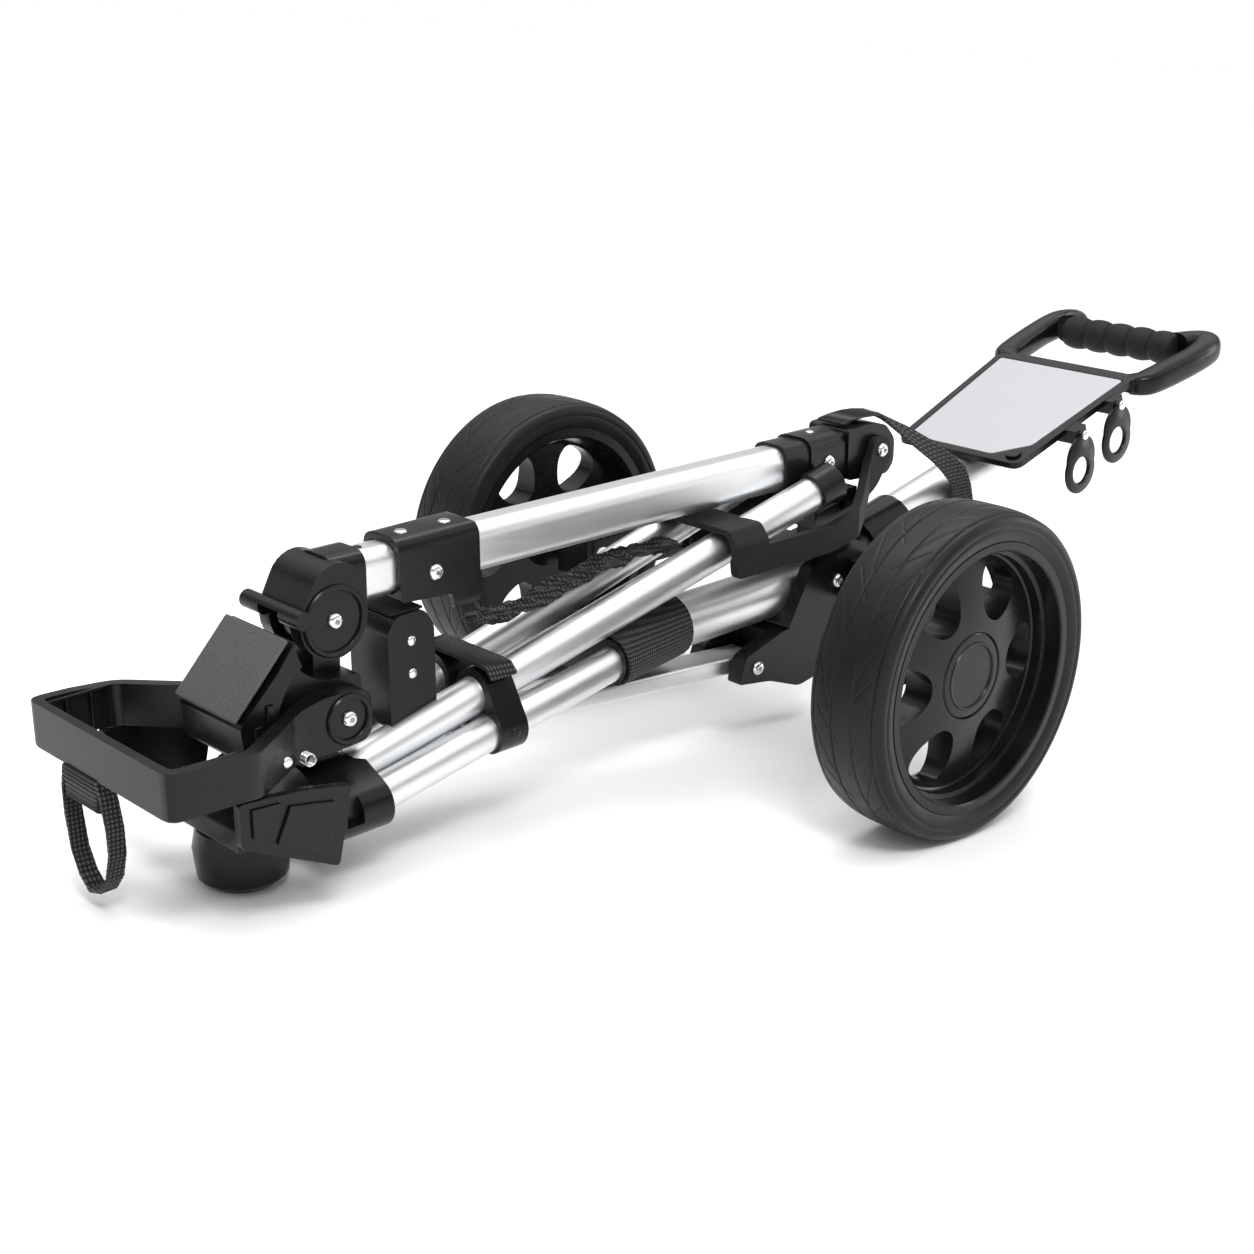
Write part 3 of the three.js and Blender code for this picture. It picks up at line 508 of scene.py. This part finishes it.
def fasteners():
    bolt("bolt_a", -402, -24, 85)
    bolt("bolt_b", -407, -42, 22)
    bolt("bolt_c", 154, -30, 100)
    bolt("bolt_clamp", -314, -20.5, 98)
    bolt("bolt_sleeve", 98, -20, 98)
    bolt("bolt_block", 98, -34, -1)
    bolt("bolt_stay", 6, -30, -56)
    rivet("rivet_clamp_left", (-330, -4, 127), (0, 0, 1), 4.5, "upper_frame")
    rivet("rivet_clamp_right", (-292, -4, 126.2), (0, 0, 1), 4.5, "upper_frame")
    rivet("rivet_sleeve", (96, 0, 120.2), (0, 0, 1), 3.6, "upper_frame")
    # Painted shade: the next two black plastic domes stand for the dark, shaded inside of a hole in the
    # upper tube and of a hole in the leg bracket.
    rivet("tube_hole_painted_shade", (-364, 0, 121.9), (0, 0, 1), 3.4, "upper_frame", "black_plastic")
    rivet("bracket_hole_painted_shade", (-274, -55.3, -23.4), (0, -1, 0), 4, "chassis", "black_plastic")
    rivet("screw_cradle", (-480, -77.6, 24), (0, -1, 0), 3.5, "cradle")
    for u, end in ((76, "front"), (134, "rear")):
        x, z = deck_point(u, -7)
        rivet("screw_" + end, (x, -86.6, z), (0, -1, 0), 4.2, f"ring_{end}_body")


# ------------------------------------------------------------------ webbing and rubber
# A woven band: ribs run across it, its edges are thinner, and its width turns as it goes.
def web_band(name, stations, width, thickness, body, nodes, rib=3.4):
    dense = []
    for (p, turn), (q, next_turn) in zip(stations, stations[1:]):
        p, q = Vector(p), Vector(q)
        steps = max(2, int((q - p).length / (rib / 4)))
        dense += [(p.lerp(q, k / steps), turn + (next_turn - turn) * k / steps) for k in range(steps)]
    dense.append((Vector(stations[-1][0]), stations[-1][1]))
    travelled, rings = 0.0, []
    for i, (centre, turn) in enumerate(dense):
        ahead, behind = dense[min(i + 12, len(dense) - 1)][0], dense[max(i - 12, 0)][0]
        along = (ahead - behind).normalized()
        across = Vector((math.sin(math.radians(turn)), math.cos(math.radians(turn)), 0))
        across = (across - along * across.dot(along)).normalized()
        normal = along.cross(across)
        swell = 0.5 * math.cos(2 * math.pi * travelled / rib)
        columns = 12
        top, low = [], []
        for k in range(columns + 1):
            u = (k / columns - 0.5) * width
            edge = 0.5 if k in (0, columns) else 1.0
            height = (thickness / 2 + swell) * edge
            top.append(centre + across * u + normal * height)
            low.append(centre + across * u - normal * height)
        rings.append(top + low[::-1])
        if i + 1 < len(dense):
            travelled += (dense[i + 1][0] - centre).length
    return solid(name, *skin(rings), "black_webbing", body, nodes, smooth=70)


def retaining_strap():
    stations = [
        ((122, 0, 124.6), 0), ((136, 0, 126.2), 0), ((150, 0, 126.4), 0), ((163, 0, 125.4), 2),
        ((176, 0, 122.4), 14), ((190, -2, 115), 38), ((220, -10, 95), 64), ((246, -19, 76), 76),
        ((258, -23.6, 64), 80), ((267, -26.4, 54), 84), ((272, -27.2, 40), 88), ((277, -27.2, 20), 90),
    ]
    web_band("retaining_strap_look", stations, 28, 2.2, "upper_frame", ["retaining_strap"])


def loop_strap():
    path = [
        (2, 12), (-3, 0), (-7, -18), (-7, -36), (-1, -54), (10, -67), (24, -71), (34, -63), (42, -48),
        (46, -24), (46, -4), (42, 12),
    ]
    # The thick sewn end that the loop hangs from, under the hoop.
    sewn_end = [((-565, 22, z), 0) for z in (13, 6, -1, -9)]
    web_band("loop_wrap", sewn_end, 46, 12.4, "cradle", [])
    rings = []
    dense = []
    for (y0, z0), (y1, z1) in zip(path, path[1:]):
        dense += [(y0 + (y1 - y0) * k / 14, z0 + (z1 - z0) * k / 14) for k in range(14)]
    dense.append(path[-1])
    for i, (y, z) in enumerate(dense):
        before, after = dense[max(i - 4, 0)], dense[min(i + 4, len(dense) - 1)]
        along = Vector((after[0] - before[0], after[1] - before[1])).normalized()
        out = Vector((-along.y, along.x))
        half = 1.25 + 0.2 * math.cos(i * 1.6)
        across = (-571, -567, -563, -559)
        ring = [(x, y + out.x * half, z + out.y * half) for x in across]
        ring += [(x, y - out.x * half, z - out.y * half) for x in reversed(across)]
        rings.append(ring)
    solid("loop_strap_look", *skin(rings), "black_webbing", "cradle", ["loop_strap"], smooth=70)


# Slack webbing gathered under the upper tube, in soft uneven folds.
def slack_webbing():
    rings = []
    length, count = 205, 150
    for i in range(count + 1):
        x = -268 + length * i / count
        rise = 44 + 20 * (i / count) - 3 * math.sin(i * 0.05)
        ring = []
        columns = 40
        for side in (1, -1):
            for k in range(columns + 1):
                k = k if side > 0 else columns - k
                y = (k / columns - 0.5) * 26
                fold = noise.noise(Vector((x * 0.05, y * 0.16, 3.1))) * 5
                crease = noise.noise(Vector((x * 0.16, y * 0.3, 8.7))) * 2.2
                drift = 3 * noise.noise(Vector((x * 0.04, 0, 5)))
                ring.append((x, y + drift, rise + fold + crease + side * 0.7))
        rings.append(ring)
    solid("slack_webbing", *skin(rings), "black_webbing", "chassis", smooth=80)


def grip_piece():
    centre = bow_point(92, 0, -9)
    profile = [(0, -60)]
    for i in range(141):
        share = i / 140
        bulge = abs(math.sin(math.pi * 5 * share)) ** 0.55
        profile.append((12.6 + 3.3 * bulge, -60 + 120 * share))
    profile.append((0, 60))
    verts, faces = turned(profile, centre.x, centre.z, 0, 1, 64)
    solid("grip_look", verts, faces, "soft_rubber", "chassis", ["grip"], smooth=60)


# ------------------------------------------------------------------ mouldings
REFINED = [
    "elbow_sleeve", "axle_block", "axle_arm_near", "axle_arm_far", "axle_near", "axle_far", "stay_yoke",
    "foot_block", "leg_bracket", "stand_foot", "foot_rim", "bracket_strap", "junction", "junction_band",
    "tube_rest", "leg_head", "hub_block", "console_frame", "console_plate", "elbow", "clamp_sleeve",
    "tube_sleeve", "head_fitting", "rest_arm", "cradle_frame", "cradle_panel_near", "cradle_panel_far",
    "cradle_floor", "release_button",
]
# These larger castings have rounder edges.
ROUNDER = ("cradle_frame", "rest_arm", "leg_bracket", "foot_block")


def block(name, low, high, slot, body, width=0.0008):
    verts = [(x, y, z) for x in (low[0], high[0]) for y in (low[1], high[1]) for z in (low[2], high[2])]
    faces = [(0, 1, 3, 2), (4, 6, 7, 5), (0, 4, 5, 1), (2, 3, 7, 6), (0, 2, 6, 4), (1, 5, 7, 3)]
    return solid(name, verts, faces, slot, body, width=width)


# Raised ribs and triangles inside the cradle's side panels.
def cradle_relief():
    for side, end in ((-1, "near"), (1, "far")):
        outer = side * 86
        inner = side * 87.2
        outlines = [
            [(-514, 5), (-492, 3), (-514, -15)],
            [(-486, -1), (-452, -8), (-459, -44), (-497, -24)],
        ]
        for i, outline in enumerate(outlines):
            rings = [[(x, y, z) for x, z in outline] for y in (outer - side * 0.8, inner)]
            solid(f"relief_{end}_{i}", *skin(rings), "black_plastic", "cradle", width=0.0006)


# A raised ring with a shallow dish, as moulded round a hinge bolt.
def boss(name, x, y, z, radius, body):
    profile = [
        (radius - 4, 0), (radius - 4, 1.4), (radius - 3.4, 2.2), (radius - 1, 2.2), (radius, 1.2),
        (radius, -0.5), (radius - 4, -0.5),
    ]
    solid(name, *turned(profile, x, z, y, -1, 64), "black_plastic", body, smooth=30)


def cover_piece():
    top, bottom = Vector((-443, 85)), Vector((-488, 38))
    along = (bottom - top).normalized()
    out = Vector((along.y, -along.x))
    face = [top + along * 2 + out * 1.5, bottom + out * 1.5, bottom + out * 4.5, top + along * 2 + out * 4.5]
    rings = [[(p.x, y, p.y) for p in face] for y in (-35.5, 35.5)]
    solid("hub_cover_look", *skin(rings), "grained_cover", "chassis", ["hub_cover"], width=0.0016)


# Points along a smooth line through the given ones.
def smooth_path(points, steps=10):
    path = []
    padded = [points[0], *points, points[-1]]
    for a, b, c, d in zip(padded, padded[1:], padded[2:], padded[3:]):
        a, b, c, d = (Vector(p) for p in (a, b, c, d))
        for k in range(steps):
            t = k / steps
            second = (a * 2 - b * 5 + c * 4 - d) * t * t
            third = (b * 3 - a - c * 3 + d) * t ** 3
            path.append((b * 2 + (c - a) * t + second + third) * 0.5)
    path.append(Vector(points[-1]))
    return path


# A point of the handle: u beyond the deck's end, v across and h above.
def bow_point(u, v, h):
    x0, z0 = deck_point(DECK_LENGTH, 0)
    x = x0 + u * math.cos(HANDLE_SLOPE) - h * math.sin(HANDLE_SLOPE)
    z = z0 + u * math.sin(HANDLE_SLOPE) + h * math.cos(HANDLE_SLOPE)
    return Vector((x, v, z))


def handle_bow():
    for side, end in ((-1, "near"), (1, "far")):
        line = [
            (5, 66, -10), (14, 78, -10), (40, 82.5, -10.5), (80, 86, -11), (106, 84, -11), (116, 76, -10.5),
            (110, 66, -10), (97, 60.5, -9),
        ]
        sizes = [(10, 9), (12, 11), (12, 12), (12, 12), (13, 12.5), (13, 12.5), (13.5, 13), (14.5, 14.5)]
        path = smooth_path([bow_point(u, side * v, h) for u, v, h in line])
        rings = []
        for i, place in enumerate(path):
            share = min(i / 10, len(sizes) - 1.001)
            low = int(share)
            half = [p + (q - p) * (share - low) for p, q in zip(sizes[low], sizes[low + 1])]
            along = (path[min(i + 1, len(path) - 1)] - path[max(i - 1, 0)]).normalized()
            up = Vector((0, 0, 1))
            up = (up - along * up.dot(along)).normalized()
            across = along.cross(up)
            ring = []
            for k in range(32):
                a = 2 * math.pi * k / 32
                c, s = math.cos(a), math.sin(a)
                u = half[0] * math.copysign(abs(c) ** 0.7, c)
                v = half[1] * math.copysign(abs(s) ** 0.7, s)
                ring.append(place + across * u + up * v)
            rings.append(ring)
        nodes = ["handle_bow"] if side < 0 else []
        solid(f"handle_arm_{end}", *skin(rings), "black_plastic", "chassis", nodes, smooth=50)
        hole = bow_point(113, side * 78, -1)
        rivet(f"handle_plug_{end}", hole, (0.2, side * 0.6, 1), 4.5, "chassis", "satin_aluminium")
    section = ((-4, -15), (12, -15), (12, -4), (8, -1), (-4, -1))
    rings = [[bow_point(u, v, h) for u, h in section] for v in (-76, 76)]
    solid("handle_bar", *skin(rings), "black_plastic", "chassis", width=0.0015)


def umbrella_ring(u, end):
    x, z = deck_point(u, -7)
    steps, rings = 72, []
    for i in range(steps):
        a = 2 * math.pi * i / steps
        reach = 21.5
        direction = Vector((math.cos(a), math.sin(a)))
        if direction.y > 0:
            reach = 21.5 + 18 * max(0.0, direction.y - 0.35) ** 1.2
        profile = [
            (12, -3), (13, -4.2), (reach - 1.2, -4.2), (reach, -3.2), (reach, -1.3), (reach - 1.2, -0.3),
            (13, -0.3), (12, -1.3),
        ]
        rings.append([(x - 2 + direction.x * r, -82 + y, z - 32 + direction.y * r) for r, y in profile])
    name = "ring_" + end
    solid(name + "_look", *skin(rings, closed=True), "black_plastic", name + "_body", [name], smooth=45)


# A small open coil by the cradle hinge.
def hinge_spring():
    rings = []
    for i in range(161):
        a = 2 * math.pi * i / 32
        centre = Vector((-447 + 4 * math.cos(a), -47 - 7 * i / 160, 8 + 4 * math.sin(a)))
        along = Vector((-math.sin(a), -0.3, math.cos(a))).normalized()
        side = along.cross(Vector((0, 1, 0))).normalized()
        up = along.cross(side)
        rings.append([centre + side * u + up * v for u, v in circle(0.6, 8)])
    solid("hinge_spring", *skin(rings), "bright_steel", "cradle", smooth=80)


# Ribs and screws on the hub's cheeks and the tube rest, and fine ribs on the spine's sleeve.
def hub_details():
    for side, end in ((-1, "near"), (1, "far")):
        cheek = side * 36.5
        for i, (x, z) in enumerate(((-462, 38), (-472, 26))):
            low, high = (x - 5, cheek - 1.6, z - 8), (x + 1, cheek + 1.6, z + 8)
            block(f"hub_rib_{end}_{i}", low, high, "black_plastic", "chassis")
        rivet(f"hub_screw_{end}", (-474, side * 36, 14), (0, side, 0), 3.2, "chassis")
        rivet(f"rest_screw_{end}", (-338, side * 22.2, 54), (0, side, 0), 3.6, "chassis")
        rivet(f"rest_screw_low_{end}", (-338, side * 22.2, 30), (0, side, 0), 3.6, "chassis")
    block("rest_pad_rib_top", (-352, -18, 73.4), (-324, 18, 75.4), "soft_rubber", "chassis")
    for i in range(4):
        x = 141 + i * 6.5
        low, high = (x, -24.6, SLEEVE_Z - 4), (x + 2.4, -23.2, SLEEVE_Z + 4)
        block(f"sleeve_rib_{i}", low, high, "black_plastic", "chassis", 0.0004)


# Moulded ribs of the hoop: a lip along each side's top edge, and upright ribs on the sides and front.
def cradle_ribs():
    for side, end in ((-1, "near"), (1, "far")):
        wall = side * 77
        lip = (-562, wall - 1.5, 40), (-516, wall + 1.5, 42.6)
        block(f"hoop_lip_{end}", *lip, "black_plastic", "cradle")
        for i, x in enumerate((-548, -530)):
            low, high = (x, wall - 1.6, 15), (x + 2.4, wall + 1.6, 40)
            block(f"hoop_rib_{end}_{i}", low, high, "black_plastic", "cradle")
    for i, y in enumerate((-44, -15, 15, 44)):
        block(f"hoop_front_rib_{i}", (-564, y - 1.2, 16), (-560.6, y + 1.2, 41), "black_plastic", "cradle")


def mouldings():
    hinge_spring()
    cradle_ribs()
    hub_details()
    boss("boss_a", -402, -24, 85, 25, "upper_frame")
    boss("boss_b", -407, -42, 22, 18, "cradle")
    cover_piece()
    handle_bow()
    umbrella_ring(76, "front")
    umbrella_ring(134, "rear")
    for node in REFINED:
        refine(node, 0.0014 if node in ROUNDER else 0.0009)
    cradle_relief()


# ------------------------------------------------------------------ room, light and camera
def area_light(name, place, target, size, power):
    data = bpy.data.lights.new(name, "AREA")
    data.shape = "RECTANGLE"
    data.size, data.size_y = size
    data.energy = power
    lamp = bpy.data.objects.new(name, data)
    bpy.context.scene.collection.objects.link(lamp)
    lamp.location = place
    lamp.rotation_euler = (Vector(target) - Vector(place)).to_track_quat("-Z", "Y").to_euler()


def room():
    mesh = bpy.data.meshes.new("floor")
    mesh.from_pydata([(-60, -60, 0), (60, -60, 0), (60, 60, 0), (-60, 60, 0)], [], [(0, 1, 2, 3)])
    floor = object_from("floor", mesh)
    material, _, shader = new_material("pale_floor", (0.98, 0.98, 0.98), 0.8)
    shader.inputs["Specular IOR Level"].default_value = 0.0
    floor.data.materials.append(material)
    world = bpy.data.worlds.new("studio")
    bpy.context.scene.world = world
    world.use_nodes = True
    background = world.node_tree.nodes["Background"]
    # Bright above and at the horizon, dim between, as a studio's walls are.
    nodes, links = world.node_tree.nodes, world.node_tree.links
    direction, split = nodes.new("ShaderNodeTexCoord"), nodes.new("ShaderNodeSeparateXYZ")
    height = nodes.new("ShaderNodeValToRGB")
    stops = height.color_ramp.elements
    stops[0].position, stops[1].position = 0.19, 0.62
    stops[0].color, stops[1].color = (1, 1, 1, 1), (1.28, 1.28, 1.28, 1)
    for place in (0.28, 0.44):
        stops.new(place).color = (0.25, 0.25, 0.25, 1)
    links.new(direction.outputs["Generated"], split.inputs[0])
    links.new(split.outputs["Z"], height.inputs["Fac"])
    links.new(height.outputs["Color"], background.inputs["Color"])
    background.inputs["Strength"].default_value = 1.0
    area_light("key", (-1.2, -1.6, 2.4), (0, 0, 0.1), (0.9, 0.6), 34)
    area_light("overhead", (0.3, 0.6, 2.2), (0, 0, 0.1), (2.2, 0.4), 16)
    area_light("side", (2.2, -1.2, 0.9), (0, 0, 0.15), (0.4, 1.4), 10)


def camera():
    data = bpy.data.cameras.new("camera")
    data.lens = 56.88
    data.sensor_width = 36
    cam = bpy.data.objects.new("camera", data)
    bpy.context.scene.collection.objects.link(cam)
    cam.location = TO_ROW @ Vector((-1111.15, -1045.73, 529.27))
    turn = Matrix.Rotation(-TILT, 3, "Y")
    forward = turn @ Vector((0.6488, 0.6793, -0.3429)).normalized()
    right = forward.cross(turn @ Vector((0, 0, 1))).normalized()
    up = right.cross(forward)
    cam.rotation_mode = "QUATERNION"
    cam.rotation_quaternion = Matrix((right, up, -forward)).transposed().to_quaternion()
    bpy.context.scene.camera = cam


camera()
room()
mouldings()
wheels()
tubes()
fasteners()
retaining_strap()
loop_strap()
slack_webbing()
grip_piece()
bpy.context.scene.view_settings.view_transform = "Standard"
